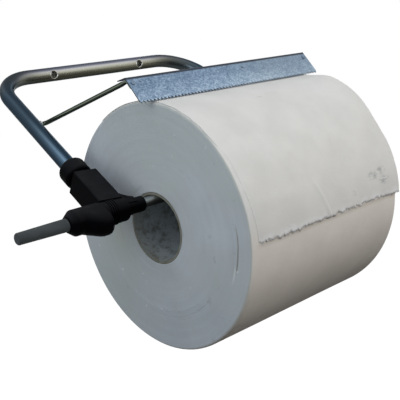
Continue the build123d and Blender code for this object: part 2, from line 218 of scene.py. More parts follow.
# ---- node trees
class Nodes:
    """Short ways to add nodes to a tree. A value is a number, or the socket that feeds it."""

    def __init__(self, tree):
        self.tree = tree

    def fill(self, node, values):
        """Sets or feeds a node's inputs."""
        for socket, value in values.items():
            if isinstance(value, bpy.types.NodeSocket):
                self.tree.links.new(value, node.inputs[socket])
            else:
                node.inputs[socket].default_value = value
        return node

    def put(self, kind, values=None, **options):
        """Adds a node with its options and inputs."""
        made = self.tree.nodes.new(kind)
        for option, value in options.items():
            setattr(made, option, value)
        return self.fill(made, values or {})

    def out(self, kind, values=None, **options):
        """Adds a node and gives its first output."""
        return self.put(kind, values, **options).outputs[0]

    def maths(self, operation, first, second=0.0, third=0.0):
        return self.out("ShaderNodeMath", {0: first, 1: second, 2: third}, operation=operation)

    def times(self, first, *others):
        for other in others:
            first = self.maths("MULTIPLY", first, other)
        return first

    def plus(self, first, second):
        return self.maths("ADD", first, second)

    def minus(self, first, second):
        return self.maths("SUBTRACT", first, second)

    def line(self, value, slope, start):
        """Slope times a value, plus a start."""
        return self.maths("MULTIPLY_ADD", value, slope, start)

    def off(self, value, centre=0.0):
        """How far a value is from a centre, either way."""
        return self.maths("ABSOLUTE", self.minus(value, centre) if centre else value)

    def distance(self, first, second):
        """The length of a line whose two parts are given."""
        squares = [self.maths("POWER", part, 2.0) for part in (first, second)]
        return self.maths("SQRT", self.plus(*squares))

    def split(self, vector):
        """The three parts of a vector."""
        return self.put("ShaderNodeSeparateXYZ", {0: vector}).outputs

    def stretched(self, vector, factors):
        """A vector times three factors."""
        return self.out("ShaderNodeVectorMath", {0: vector, 1: factors}, operation="MULTIPLY")

    def dimmed(self, vector, factor):
        """A vector or colour times one factor."""
        return self.out("ShaderNodeVectorMath", {0: vector, "Scale": factor}, operation="SCALE")

    def mix(self, share, first, second, blend="MIX"):
        """Mixes two colours."""
        first, second = (value if isinstance(value, bpy.types.NodeSocket) else (*value[:3], 1.0)
                         for value in (first, second))
        return self.put("ShaderNodeMix", {0: share, 6: first, 7: second},
                        data_type="RGBA", blend_type=blend).outputs[2]

    def between(self, value, low, high, out_low=0.0, out_high=1.0):
        """Maps low to out_low and high to out_high, clamped."""
        return self.out("ShaderNodeMapRange", {0: value, 1: low, 2: high, 3: out_low, 4: out_high})

    def ramp(self, value, *pairs):
        """A colour ramp from (place, colour) pairs."""
        made = self.put("ShaderNodeValToRGB", {0: value})
        elements = made.color_ramp.elements
        while len(elements) < len(pairs):
            elements.new(0.5)
        for element, (place, tint) in zip(elements, pairs):
            element.position = place
            element.color = (*tint, 1.0)
        return made.outputs[0]

    def grain(self, where, scale, detail=3.0, roughness=0.5):
        """Noise with features of about 1 / scale metres."""
        return self.out("ShaderNodeTexNoise", {
            "Vector": where, "Scale": scale, "Detail": detail, "Roughness": roughness})

    def seen(self):
        """1 where the camera, a glossy surface or a clear one looks."""
        path = self.put("ShaderNodeLightPath").outputs
        either = self.maths("MAXIMUM", path["Is Camera Ray"], path["Is Glossy Ray"])
        return self.maths("MAXIMUM", either, path["Is Transmission Ray"])


class GeometryNodes(Nodes):
    """A geometry tree with named inputs, run on one piece."""

    def __init__(self, name, values):
        super().__init__(bpy.data.node_groups.new(name, "GeometryNodeTree"))
        self.values = values
        sockets = self.tree.interface.new_socket
        sockets("Geometry", in_out="INPUT", socket_type="NodeSocketGeometry")
        for label, value in values.items():
            kind = "NodeSocketInt" if isinstance(value, int) else "NodeSocketFloat"
            sockets(label, in_out="INPUT", socket_type=kind).default_value = value
        sockets("Geometry", in_out="OUTPUT", socket_type="NodeSocketGeometry")
        self.given = self.put("NodeGroupInput").outputs

    def wire(self, curve, sides, radius):
        """A round wire along a curve, closed at its ends."""
        section = self.out("GeometryNodeCurvePrimitiveCircle", {
            "Resolution": sides, "Radius": radius})
        return self.out("GeometryNodeCurveToMesh", {
            "Curve": curve, "Profile Curve": section, "Fill Caps": True})

    def bake(self, piece, geometry, material):
        """Ends the tree, runs it on a piece, and leaves the result as the piece's plain mesh."""
        real = self.out("GeometryNodeRealizeInstances", {0: geometry})
        dressed = self.out("GeometryNodeSetMaterial", {0: real, "Material": material})
        self.put("NodeGroupOutput", {0: dressed})
        modifier = piece.modifiers.new("build", "NODES")
        modifier.node_group = self.tree
        names = {item.name: item.identifier for item in self.tree.interface.items_tree
                 if item.item_type == "SOCKET" and item.in_out == "INPUT"}
        for label, value in self.values.items():
            modifier[names[label]] = value
        bpy.context.view_layer.update()
        graph = bpy.context.evaluated_depsgraph_get()
        data = bpy.data.meshes.new_from_object(piece.evaluated_get(graph))
        data.name = piece.name
        piece.modifiers.remove(modifier)
        piece.data = data
        smooth_faces(data)
        return piece


# ---- finishes
def shade(*parts):
    """A colour from its three 0 to 255 display parts."""
    return tuple(((part / 255 + 0.055) / 1.055) ** 2.4 if part > 10 else part / 255 / 12.92
                 for part in parts)


def stops(*rows):
    """Ramp stops from (place, three display parts) rows."""
    return tuple((place, shade(*parts)) for place, *parts in rows)


class Finish(Nodes):
    """A material with its tree, its shader, and the object's own coordinates and normal."""

    def __init__(self, name):
        self.material = bpy.data.materials.new(name)
        self.material.use_nodes = True
        super().__init__(self.material.node_tree)
        self.shader = self.tree.nodes["Principled BSDF"]
        where = self.put("ShaderNodeTexCoord").outputs
        self.place = where["Object"]
        self.normal = where["Normal"]

    def shine(self, values):
        """Sets or feeds the shader's own inputs."""
        self.fill(self.shader, values)

    def roughen(self, height, strength, distance):
        bump = self.out("ShaderNodeBump", {
            "Strength": strength, "Distance": distance, "Height": height})
        self.shine({"Normal": bump})

    def facing_level(self, lean):
        """0 to 1 by how far a surface faces up, leaned towards the plain end by lean."""
        facing = self.split(self.normal)
        both = self.line(facing[0], lean, facing[2])
        return self.line(both, 0.5 / (1 + lean * lean) ** 0.5, 0.5)


class Metal(Finish):
    """Drawn, plated metal: faint grime and pits over a colour, with uneven polish."""

    metallic = 0.92

    def coat(self, base, roughness, non_metal=None):
        """Finishes the metal over a base colour, with no metal where non_metal is 1."""
        spots = self.between(self.grain(self.place, 900.0, 4.0, 0.7), 0.55, 0.75)
        darkening = (0.03, 0.027, 0.022)
        polish = self.grain(self.place, 260.0, 5.0, 0.6)
        self.shine({
            "Base Color": self.mix(self.times(spots, 0.18), base, darkening),
            "Specular Tint": (0.42, 0.44, 0.46, 1.0),
            "Metallic": self.metallic if non_metal is None else self.line(
                non_metal, -self.metallic, self.metallic),
            "Roughness": self.line(polish, 0.12, roughness)})
        self.roughen(self.grain(self.place, 700.0, 4.0), 0.03, 0.1 * MM)
        return self.material


def tube_finish():
    """Plated tube whose colour is painted reflection: a pale shoulder highlight and an olive
    underside on the bar, blue-black arms with a pale painted highlight line.
    """
    steel = Metal("plated_tube")
    place = steel.split(steel.place)
    off_middle = steel.off(place[0])
    streaks = steel.grain(steel.stretched(steel.place, (0.25, 1.0, 1.0)), 110.0)
    level = steel.line(steel.minus(streaks, 0.5), 0.016, steel.facing_level(0.57))
    # The two ramps by how far the tube faces up paint its reflections and highlights.
    bar = steel.ramp(level, *stops(
        (0.0, 32, 32, 27), (0.15, 36, 36, 30), (0.30, 58, 57, 46), (0.42, 112, 110, 95),
        (0.54, 148, 147, 131), (0.64, 174, 174, 165), (0.71, 176, 176, 176),
        (0.765, 142, 144, 152), (0.82, 94, 97, 108), (0.90, 66, 68, 80), (1.0, 60, 62, 74)))
    arm = steel.ramp(level, *stops(
        (0.0, 36, 42, 46), (0.25, 38, 47, 56), (0.42, 50, 68, 84), (0.56, 84, 110, 132),
        (0.66, 126, 154, 176), (0.735, 98, 126, 150), (0.80, 44, 66, 84), (1.0, 28, 38, 48)))
    # The painted highlight dies away in the two bends.
    bent_arm = steel.mix(0.85, arm, shade(46, 58, 68))
    arm = steel.mix(steel.between(place[1], -190 * MM, -95 * MM), arm, bent_arm)
    bent_bar = steel.mix(0.75, bar, shade(66, 70, 68))
    bar = steel.mix(steel.between(off_middle, 85 * MM, 125 * MM), bar, bent_bar)
    # The bar's painted reflection is brighter in the middle and dimmer towards the bends.
    bar = steel.dimmed(bar, steel.between(off_middle, 50 * MM, 120 * MM, 1.27, 0.76))
    base = steel.mix(steel.between(place[1], -50 * MM, -14 * MM), arm, bar)
    # Inside the bar the bore is painted pale and not metal: painted light where little real light
    # reaches.
    from_axis = steel.distance(steel.plus(place[1], TUBE_RADIUS), place[2])
    bore = steel.times(
        steel.between(from_axis, TUBE_RADIUS - 0.3 * MM, TUBE_RADIUS - 1.1 * MM),
        steel.between(off_middle, 95 * MM, 85 * MM))
    return steel.coat(steel.mix(bore, base, (0.80, 0.79, 0.72)), 0.22, bore)


def steel_finish(name, shades, roughness, lean=0.0):
    """Plated steel whose colour follows how far it faces up: painted shade and reflection."""
    steel = Metal(name)
    wander = steel.minus(steel.grain(steel.place, 90.0), 0.5)
    level = steel.line(wander, 0.06, steel.facing_level(lean))
    return steel.coat(steel.ramp(level, *shades), roughness)


def plastic_finish(name, tint, roughness, gloss, painted_tone=0.12):
    """Moulded plastic with a fine grain, worn patches, and upward faces paler from a dusting and a
    painted light.
    """
    plastic = Finish(name)
    patches = plastic.between(plastic.grain(plastic.place, 55.0, 4.0, 0.6), 0.35, 0.7)
    worn = tuple(min(1.0, part * 1.5 + 0.0005) for part in tint)
    # Upward faces are paler: a little dusting plus painted light.
    on_top = plastic.between(plastic.split(plastic.normal)[2], 0.1, 0.9)
    dust_and_top_light = plastic.times(on_top, plastic.between(
        plastic.grain(plastic.place, 60.0, 4.0, 0.6), 0.3, 0.7, 0.6, 1.0), painted_tone)
    plastic.shine({
        "Base Color": plastic.mix(dust_and_top_light, plastic.mix(patches, tint, worn), (0.12, 0.12, 0.13)),
        "Roughness": plastic.line(patches, 0.12, roughness),
        "Specular IOR Level": gloss})
    plastic.roughen(plastic.grain(plastic.place, 1600.0, 3.0, 0.7), 0.2, 0.12 * MM)
    return plastic.material


def zinc_sheet_finish():
    """Zinc-coated sheet: small blue-grey crystals, with a painted highlight towards the teeth and
    painted shade on top.
    """
    low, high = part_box("tear_plate")
    zinc = Finish("zinc_sheet")
    place = zinc.split(zinc.place)
    facing = zinc.split(zinc.normal)
    wander = zinc.put("ShaderNodeTexNoise", {"Vector": zinc.place, "Scale": 300.0, "Detail": 2.0})
    bent = zinc.out("ShaderNodeVectorMath", {
        0: wander.outputs["Color"], 1: (1.6 * MM,) * 3, 2: zinc.place},
        operation="MULTIPLY_ADD")
    crystals = zinc.put("ShaderNodeTexVoronoi", {"Vector": bent, "Scale": 720.0})
    sparkle = zinc.out("ShaderNodeSeparateColor", {0: crystals.outputs["Color"]})
    clouds = zinc.grain(zinc.place, 60.0, 5.0, 0.65)
    # A painted highlight makes it palest low down, a little to the plain end of the middle; it is
    # greyer beyond that.
    gleam = zinc.between(zinc.off(place[0], 28 * MM), 70 * MM, 0.0, 0.20, 0.36)
    rise = zinc.times(zinc.between(place[2], high.z - 8 * MM, low.z), gleam)
    level = zinc.plus(zinc.line(sparkle, 0.42, zinc.times(clouds, 0.38)), rise)
    base = zinc.ramp(level, *stops((0.12, 82, 104, 130), (0.38, 116, 139, 164),
                                   (0.60, 146, 168, 190), (0.90, 198, 214, 228)))
    greyer = zinc.between(place[0], -20 * MM, 60 * MM, 0.0, 0.22)
    base = zinc.mix(greyer, base, shade(152, 162, 160))
    dots = zinc.times(zinc.between(zinc.grain(zinc.place, 150.0, 1.0), 0.73, 0.78), 0.75)
    base = zinc.mix(dots, base, shade(52, 60, 74))
    # The flange's upper side, the fold and the cut edges are painted dark and not metal: painted
    # shade.
    cut = zinc.between(zinc.off(facing[0]), 0.5, 0.8)
    fold = zinc.times(zinc.between(place[2], high.z - 2.4 * MM, high.z - 1.6 * MM), 0.92)
    painted_shade = zinc.maths("MAXIMUM", cut, zinc.between(facing[2], 0.70, 0.85))
    painted_shade = zinc.maths("MAXIMUM", painted_shade, fold)
    zinc.shine({
        "Base Color": zinc.mix(painted_shade, base, (0.018, 0.02, 0.03)),
        "Metallic": zinc.line(painted_shade, -0.8, 0.8),
        "Specular IOR Level": 0.15,
        "Roughness": zinc.line(sparkle, 0.2, 0.38)})
    zinc.roughen(zinc.plus(sparkle, clouds), 0.12, 0.2 * MM)
    return zinc.material


class RollFinish(Finish):
    """A finish with the place along the roll, the radius, and the angle from top to front."""

    def __init__(self, name):
        super().__init__(name)
        place = self.split(self.place)
        front = self.minus(AXIS_Y, place[1])
        height = self.minus(place[2], AXIS_Z)
        self.along = place[0]
        self.radius = self.distance(front, height)
        self.angle = self.maths("ARCTAN2", front, height)

    def stretch(self, start, full, fading, end, origin=0.0):
        """1 on a stretch of the turn, with soft ends: four angles in degrees past an origin."""
        start, full, fading, end = (radians(origin + part) for part in (start, full, fading, end))
        return self.times(self.between(self.angle, start, full),
                          self.between(self.angle, end, fading))

    def blot(self, x, turned, size, squash=1.0):
        """1 at a place on the roll's side, in mm and degrees, and 0 beyond a size."""
        round_way = self.times(self.minus(self.angle, radians(turned)), ROLL_RADIUS * squash)
        far = self.distance(self.minus(self.along, x * MM), round_way)
        return self.between(far, size * MM, 0.35 * size * MM)


class Tissue(RollFinish):
    """Soft tissue: faint mottling and fine creping on the side, layer edges on the faces."""

    def __init__(self, name, turned_tint, marked=False):
        super().__init__(name)
        finishes = settings("finish")
        self.torn = degrees(settings("tail").tear_angle)
        self.clouds = self.grain(self.place, 28.0, 5.0, 0.55)
        self.broad = self.grain(self.place, 9.0)
        self.specks = self.between(self.grain(self.place, 620.0, 4.0, 0.75), 0.62, 0.78)
        self.rings = self.ring_noise(1900.0)
        inside = self.minus(ROLL_RADIUS - 1.7 * MM, self.radius)
        face = self.between(inside, -0.4 * MM, 0.4 * MM)
        side = self.side(tuple(finishes.tissue), turned_tint)
        if marked:
            side = self.marks(side)
        end = self.darkening(self.crack(self.layer_edges(tuple(finishes.shaded_face_tint))))
        seam = self.between(self.off(inside), 0.8 * MM, 0.2 * MM, 0.0, 0.5)
        self.shine({
            "Base Color": self.mix(seam, self.mix(face, side, end), (0.44, 0.42, 0.33)),
            "Roughness": 0.95, "Specular IOR Level": 0.12, "Sheen Weight": 0.05})
        creping = self.out("ShaderNodeTexNoise", {
            "Vector": self.stretched(self.place, (1.0, 2.6, 2.6)), "Scale": 520.0,
            "Detail": 4.0})
        bump = self.out("ShaderNodeMix", {0: face, 2: creping, 3: self.rings}, data_type="FLOAT")
        self.roughen(self.plus(bump, self.times(self.clouds, 2.0)), 0.5, 0.35 * MM)

    def ring_noise(self, scale):
        """Noise in rings about the axis."""
        return self.out("ShaderNodeTexNoise", {"W": self.radius, "Scale": scale, "Detail": 3.0},
                        noise_dimensions="1D")

    def side(self, clean, turned_tint):
        """The paper's side: clean above, and turned_tint below the torn edge, with painted shade
        towards the underside and a painted shadow under the torn edge.
        """
        turned = self.between(self.angle, radians(self.torn - 10.1), radians(self.torn + 2.9))
        paper = self.mix(turned, clean, turned_tint)
        # Painted shade: below the torn edge the paper turns darker and browner towards the
        # underside.
        painted_tone = self.between(self.angle, radians(98), radians(132), 0.0, 0.5)
        paper = self.mix(self.times(painted_tone, turned), paper, (0.44, 0.40, 0.35))
        # A painted shadow darkens a thin strip just under the torn edge, short of the grip's end.
        edge_shadow = self.times(self.stretch(-0.1, 0.4, 0.7, 2.5, self.torn), 0.4,
                                self.between(self.along, -113 * MM, -105 * MM))
        paper = self.mix(edge_shadow, paper, (0.38, 0.32, 0.25))
        mottled = self.mix(self.between(self.clouds, 0.35, 0.65, 0.07, 0.0), paper,
                           (0.0, 0.0, 0.0))
        return self.mix(self.times(self.specks, 0.22), mottled, (0.42, 0.40, 0.36))

    def marks(self, side):
        """Smudges and spots of handling on the outermost sheet, and a strip of painted shadow under
        the tear bar's teeth.
        """
        flat = self.stretched(self.place, (1.0, 3.0, 3.0))
        ragged = self.between(self.grain(flat, 130.0, 4.0, 0.7), 0.44, 0.58)
        smudge = self.blot(80, 78.6, 12, 1.8)
        for x, turned, size in ((97, 82.2, 11), (94, 77.5, 10)):
            smudge = self.maths("MAXIMUM", smudge, self.blot(x, turned, size, 1.8))
        side = self.mix(self.times(smudge, ragged, 0.65), side, (0.27, 0.275, 0.28))
        lip = self.between(self.angle, radians(self.torn - 3.6), radians(self.torn - 0.9))
        lip = self.times(lip, self.between(self.grain(self.place, 110.0), 0.4, 0.6), 0.7)
        side = self.mix(lip, side, (0.76, 0.76, 0.77))
        reddish = self.times(self.blot(42, 83.7, 5), 0.45, ragged)
        side = self.mix(reddish, side, (0.45, 0.37, 0.33))
        for x, turned, size in ((-6, 23, 6), (19, 23, 5), (8, 21.5, 4)):
            spot = self.times(self.blot(x, turned, size, 1.8), 0.5, ragged)
            side = self.mix(spot, side, (0.46, 0.45, 0.42))
        # A dark strip just behind the teeth's tips is painted shadow from the tear bar, seen
        # through its notches.
        teeth_shadow = self.times(self.stretch(-3.3, -1.9, -0.05, 0.25, TEETH_ANGLE), 0.32)
        return self.mix(teeth_shadow, side, (0.06, 0.06, 0.064))

    def layer_edges(self, tint):
        """The layers' edges on a face, in fine and wide rings and broad patches."""
        level = self.plus(self.times(self.rings, 0.25), self.times(self.ring_noise(160.0), 0.2))
        level = self.plus(level, self.times(self.clouds, 0.55))
        end = self.mix(self.between(level, 0.41, 0.59), tuple(part * 0.92 for part in tint),
                       tuple(part * 1.02 for part in tint))
        return self.mix(self.between(self.broad, 0.40, 0.62, 0.0, 0.65), end, (0.47, 0.50, 0.47))

    def crack(self, end):
        """On the grip's side a layer has cracked loose in front, with a pale lip below."""
        near = self.between(self.along, -100 * MM, -110 * MM)
        crack = self.times(self.stretch(80, 87, 103, 106), near)
        lip = self.times(self.stretch(101, 104, 109, 113), near)
        drift = self.line(self.minus(self.broad, 0.5), 12 * MM, self.radius)
        lip = self.times(lip, self.between(
            self.off(drift, SLIPPED_RADIUS - 1.2 * MM), 1.6 * MM, 0.8 * MM))
        crack = self.times(crack, self.between(
            self.off(drift, SLIPPED_RADIUS + 0.2 * MM), 0.9 * MM, 0.3 * MM))
        # The crack's dark line is painted shade.
        end = self.mix(crack, self.mix(lip, end, (0.62, 0.63, 0.62)), (0.29, 0.27, 0.24))
        return self.mix(self.times(self.specks, 0.28), end, (0.36, 0.36, 0.34))

    def darkening(self, end):
        """The faces darken low down as painted shade, and carry a painted shadow of the joint; pits
        and pale flecks lie over them.
        """
        upward, forward = self.maths("COSINE", self.angle), self.maths("SINE", self.angle)
        # Painted shade: each face is darker towards the bottom.
        low_down = self.times(self.between(upward, 0.1, -0.7),
                              self.between(self.radius, 30 * MM, 100 * MM), 0.30)
        end = self.mix(low_down, end, (0.25, 0.27, 0.27))
        # Painted shadow of the joint, on the wall's side of the core and a little below the axis.
        far = self.distance(self.line(forward, self.radius, 62 * MM),
                            self.line(upward, self.radius, 12 * MM))
        joint_shadow = self.times(self.between(far, 42 * MM, 6 * MM),
                            self.between(self.clouds, 0.25, 0.65, 0.25, 0.6))
        end = self.mix(joint_shadow, end, (0.30, 0.30, 0.20))
        pits = self.times(self.between(self.grain(self.place, 70.0, 2.0), 0.70, 0.76), 0.3)
        end = self.mix(pits, end, (0.30, 0.31, 0.30))
        flecks = self.between(self.grain(self.place, 105.0, 2.0), 0.72, 0.76, 0.0, 0.5)
        return self.mix(flecks, end, (0.68, 0.70, 0.70))


def card_finish():
    """Grey card, furry and stained, with a wound seam and dark rims."""
    card = RollFinish("core_card")
    tint = tuple(settings("finish").card)
    fibres = card.grain(card.stretched(card.place, (1.0, 4.0, 4.0)), 200.0, 5.0, 0.65)
    base = card.mix(card.between(fibres, 0.3, 0.7), tuple(part * 0.86 for part in tint),
                    tuple(part * 1.1 for part in tint))
    stains = card.between(card.grain(card.place, 75.0, 5.0, 0.75), 0.48, 0.62, 0.0, 0.75)
    base = card.mix(stains, base, (0.15, 0.14, 0.10))
    winding = card.maths("FRACT", card.line(card.along, 9.5, card.times(card.angle, 0.5 / pi)))
    seam = card.minus(1.0, card.between(card.off(winding, 0.5), 0.0, 0.012))
    base = card.mix(card.times(seam, 0.3), base, tuple(part * 0.4 for part in tint))
    mouth = card.times(card.between(card.along, -100 * MM, -118 * MM, 0.0, 0.6),
                       card.between(fibres, 0.35, 0.6))
    base = card.mix(mouth, base, (0.24, 0.22, 0.13))
    rim = card.between(card.off(card.along), ROLL_HALF - 0.6 * MM, ROLL_HALF - 0.2 * MM)
    base = card.mix(card.times(rim, 0.7), base, (0.15, 0.135, 0.095))
    outside = card.between(card.radius, CORE_RADIUS - 0.8 * MM, CORE_RADIUS - 0.2 * MM)
    base = card.mix(card.times(outside, 0.75), base, (0.10, 0.095, 0.07))
    card.shine({"Base Color": base, "Roughness": 0.9, "Specular IOR Level": 0.15})
    card.roughen(card.minus(fibres, card.times(seam, 1.5)), 0.35, 0.3 * MM)
    return card.material


# ---- the roll's surface
def roll_slack(x, angle):
    """How far the wound paper's side lies inside its full radius at a place."""
    sizes = settings("roll")
    broad = 0.5 + 0.5 * noise_at(x * 9.0, sin(angle) * 1.3, cos(angle) * 1.3)
    fine = 0.5 + 0.5 * noise_at(x * 34.0, sin(angle) * 5.5, cos(angle) * 5.5)
    hollow = sizes.slack * min(1.0, max(0.0, 0.75 * broad + 0.25 * fine))
    # The loose layers stand out at the plain end, between the tear bar and the front.
    share = soft_step(radians(TEETH_ANGLE), radians(23), angle) * (
        1 - soft_step(radians(30), radians(64), angle))
    return hollow - sizes.swell * share * soft_step(50 * MM, 115 * MM, x)


def face_shift(radius, angle, side):
    """How far a face's layers stand out or sink in at a place."""
    sizes = settings("roll")
    ring = noise_at(radius * 160.0, side * 3.1, 0.4 * sin(angle))
    broad = noise_at(radius * 24.0, 1.7 * sin(angle) + side, 1.7 * cos(angle))
    inner = soft_step(CORE_RADIUS, CORE_RADIUS + 6 * MM, radius)
    shift = sizes.face_wander * (0.22 * ring + 0.45 * broad) * inner
    # In front the outer layers have slipped back and leave a small step.
    from_front = (angle % (2 * pi)) - pi / 2
    share = 1 - soft_step(radians(9), radians(24), abs(from_front))
    step = SLIPPED_RADIUS + 2 * MM * noise_at(angle * 4.0, side, 0.0)
    return shift - sizes.face_step * share * soft_step(step - 0.7 * MM, step + 0.7 * MM, radius)


def roll_profile():
    """(part, value) rows of the wound paper's section, from the near bore round to the far one."""
    edge = settings("roll").edge_radius
    face_steps, side_steps, edge_steps = 78, 64, 5
    depth = ROLL_RADIUS - edge - CORE_RADIUS
    radii = [CORE_RADIUS + depth * step / face_steps for step in range(face_steps)]
    turns = [step / edge_steps * pi / 2 for step in range(edge_steps + 1)]
    places = [-ROLL_HALF + edge + 2 * (ROLL_HALF - edge) * step / side_steps
              for step in range(1, side_steps)]
    parts = (("near", radii), ("near_edge", turns), ("side", places), ("far_edge", turns),
             ("far", radii[::-1]))
    return [(part, value) for part, values in parts for value in values]


def wound_point(part, value, angle):
    """A point of the wound paper from a row of its section and the angle."""
    edge = settings("roll").edge_radius
    if part in ("near", "far"):
        side = -1 if part == "near" else 1
        return on_roll(side * (ROLL_HALF + face_shift(value, angle, side)), value, angle)
    if part == "side":
        return on_roll(value, ROLL_RADIUS - roll_slack(value, angle), angle)
    side, turned = (-1, value) if part == "near_edge" else (1, pi / 2 - value)
    slip = face_shift(ROLL_RADIUS - edge, angle, side) * (1 - sin(turned))
    x = side * (ROLL_HALF - edge * (1 - cos(turned)) + slip)
    return on_roll(x, ROLL_RADIUS - edge * (1 - sin(turned)) - roll_slack(x, angle) * sin(turned),
                   angle)


def grid_faces(rows, columns, closed):
    """Four-cornered faces over rows of points, closed into a ring both ways if asked."""
    row_end, column_end = (rows, columns) if closed else (rows - 1, columns - 1)
    for row in range(row_end):
        for column in range(column_end):
            after, beyond = (column + 1) % columns, (row + 1) % rows * columns
            yield (row * columns + column, beyond + column, beyond + after, row * columns + after)


# ---- pieces
class HOLDER_OT_tube(bpy.types.Operator):
    """Plates the bent tube of the frame and rolls the rims of its two access holes"""

    bl_idname = "holder.tube"
    bl_label = "Finish the tube frame"

    def execute(self, context):
        dress(tube_finish(), "frame_tube")
        # The rims' ramp paints a pale crescent on each rim: a painted highlight.
        rims = self.roll_rims(steel_finish("hole_rim_steel", stops(
            (0.0, 120, 118, 100), (0.45, 120, 120, 105), (0.62, 215, 216, 208),
            (0.80, 225, 226, 220), (1.0, 120, 124, 130)), 0.25, -0.9))
        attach(rims, "frame")
        return {"FINISHED"}

    @staticmethod
    def roll_rims(material):
        """A rolled rim round each hole, bent to the tube's round."""
        holes = add_mesh("hole_rims", [(x, 0.0, 0.0) for x in HOLE_PLACES], [])
        rims = GeometryNodes("rolled_rims", {
            "Hole radius": HOLE_RADIUS, "Rim radius": HOLE_RIM_RADIUS,
            "Tube radius": TUBE_RADIUS})
        ring = rims.out("GeometryNodeCurvePrimitiveCircle", {
            "Resolution": 40, "Radius": rims.given["Hole radius"]})
        upright = rims.out("GeometryNodeTransform", {
            "Geometry": ring, "Rotation": (pi / 2, 0.0, 0.0)})
        place = rims.split(rims.out("GeometryNodeInputPosition"))
        rise = rims.minus(rims.maths("POWER", rims.given["Tube radius"], 2.0),
                          rims.maths("POWER", place[2], 2.0))
        front = rims.minus(-TUBE_RADIUS, rims.maths("SQRT", rise))
        on_tube = rims.out("ShaderNodeCombineXYZ", {0: place[0], 1: front, 2: place[2]})
        bent = rims.out("GeometryNodeSetPosition", {"Geometry": upright, "Position": on_tube})
        spread = rims.out("GeometryNodeInstanceOnPoints", {
            "Points": rims.given["Geometry"],
            "Instance": rims.wire(bent, 10, rims.given["Rim radius"])})
        return rims.bake(holes, spread, material)


class HOLDER_OT_joints(bpy.types.Operator):
    """Moulds the two joints, their collars, caps and bushes, and their rings and screws"""

    bl_idname = "holder.joints"
    bl_label = "Finish the joints"

    def execute(self, context):
        plastic = plastic_finish(
            "black_plastic", tuple(settings("finish").plastic), 0.4, 0.006, 0.13)
        for side in ("left", "right"):
            dress(plastic, *(f"{side}_{piece}" for piece in (
                "joint", "tube_collar", "barrel_cap", "nose_bush")))
        dress(plastic_finish("black_rubber", (0.02, 0.02, 0.02), 0.7, 0.2),
              "left_friction_ring", "right_friction_ring")
        dress(plastic_finish("white_nylon", (0.80, 0.79, 0.76), 0.45, 0.4),
              "left_pivot_bush", "right_pivot_bush")
        # The screws' grey rises with how far they face up: painted shade and light.
        greys = ((0.0, 0.02), (0.5, 0.07), (1.0, 0.16))
        dress(steel_finish("oiled_steel", [(place, (grey,) * 3) for place, grey in greys], 0.3),
              "lock_screws")
        return {"FINISHED"}


class HOLDER_OT_tear_bar(bpy.types.Operator):
    """Finishes the toothed plate, its two rods and their rivets"""

    bl_idname = "holder.tear_bar"
    bl_label = "Finish the tear bar"

    def execute(self, context):
        dress(zinc_sheet_finish(), "tear_plate")
        # The rods' ramp paints a pale line along their middle: a painted highlight.
        dress(steel_finish("drawn_rod", stops(
            (0.0, 32, 35, 32), (0.36, 48, 53, 48), (0.46, 86, 95, 82), (0.54, 128, 138, 118),
            (0.62, 88, 96, 84), (0.73, 50, 55, 52), (1.0, 38, 42, 44)), 0.25),
            "left_bail_arm", "right_bail_arm")
        # The rivets' ramp is paler where they face up: painted light.
        dress(steel_finish("rivet_steel", stops(
            (0.0, 84, 98, 112), (0.8, 126, 144, 162), (1.0, 100, 116, 132)), 0.35),
            "plate_rivets")
        return {"FINISHED"}


class HOLDER_OT_spindle(bpy.types.Operator):
    """Finishes the spindle's rod and its grip"""

    bl_idname = "holder.spindle"
    bl_label = "Finish the spindle"

    def execute(self, context):
        # The rod's ramp is palest where it faces mostly up: a painted reflection.
        dress(steel_finish("spindle_steel", stops(
            (0.0, 58, 58, 54), (0.40, 104, 104, 98), (0.60, 150, 152, 148),
            (0.80, 206, 209, 206), (1.0, 166, 170, 172)), 0.25), "spindle_rod")
        dress(plastic_finish("grip_plastic", tuple(settings("finish").grip), 0.6, 0.12, 0.0),
              "spindle_grip")
        return {"FINISHED"}


class HOLDER_OT_core(bpy.types.Operator):
    """Finishes the card core"""

    bl_idname = "holder.core"
    bl_label = "Finish the core"

    def execute(self, context):
        dress(card_finish(), "roll_core")
        return {"FINISHED"}


class HOLDER_OT_wound_paper(bpy.types.Operator):
    """Winds the roll: a slack side, rounded rims and faces whose layers stray in and out"""

    bl_idname = "holder.wound_paper"
    bl_label = "Wind the paper roll"

    def execute(self, context):
        finish = Tissue("wound_tissue", tuple(settings("finish").wound)).material
        turns = 300
        rows = roll_profile()
        points = [wound_point(part, value, 2 * pi * turn / turns)
                  for turn in range(turns) for part, value in rows]
        paper = add_mesh("wound_paper", points, list(grid_faces(turns, len(rows), True)), finish)
        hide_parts("paper_roll")
        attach(paper, "roll")
        layers = self.proud_layers(finish)
        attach(layers, "roll")
        return {"FINISHED"}

    @staticmethod
    def proud_layers(finish):
        """Thin arcs of single layers that stand a little proud of the faces."""
        sizes = settings("roll")
        picker = random.Random(sizes.seed)
        steps = 30
        points, edges = [], []
        for side in (-1, 1):
            for _ in range(sizes.layer_count):
                radius = CORE_RADIUS + 4 * MM + (
                    ROLL_RADIUS - CORE_RADIUS - 12 * MM) * picker.random()
                start, sweep = 2 * pi * picker.random(), radians(picker.uniform(12, 70))
                for step in range(steps + 1):
                    angle = start + sweep * step / steps
                    x = side * (ROLL_HALF + face_shift(radius, angle, side))
                    points.append(on_roll(x, radius, angle))
                    if step:
                        edges.append((len(points) - 2, len(points) - 1))
        lines = add_lines("proud_layers", points, edges)
        layers = GeometryNodes("raised_lines", {"Height": sizes.layer_height})
        curve = layers.out("GeometryNodeMeshToCurve", {0: layers.given["Geometry"]})
        raised = layers.wire(curve, 6, layers.given["Height"])
        return layers.bake(lines, raised, finish)


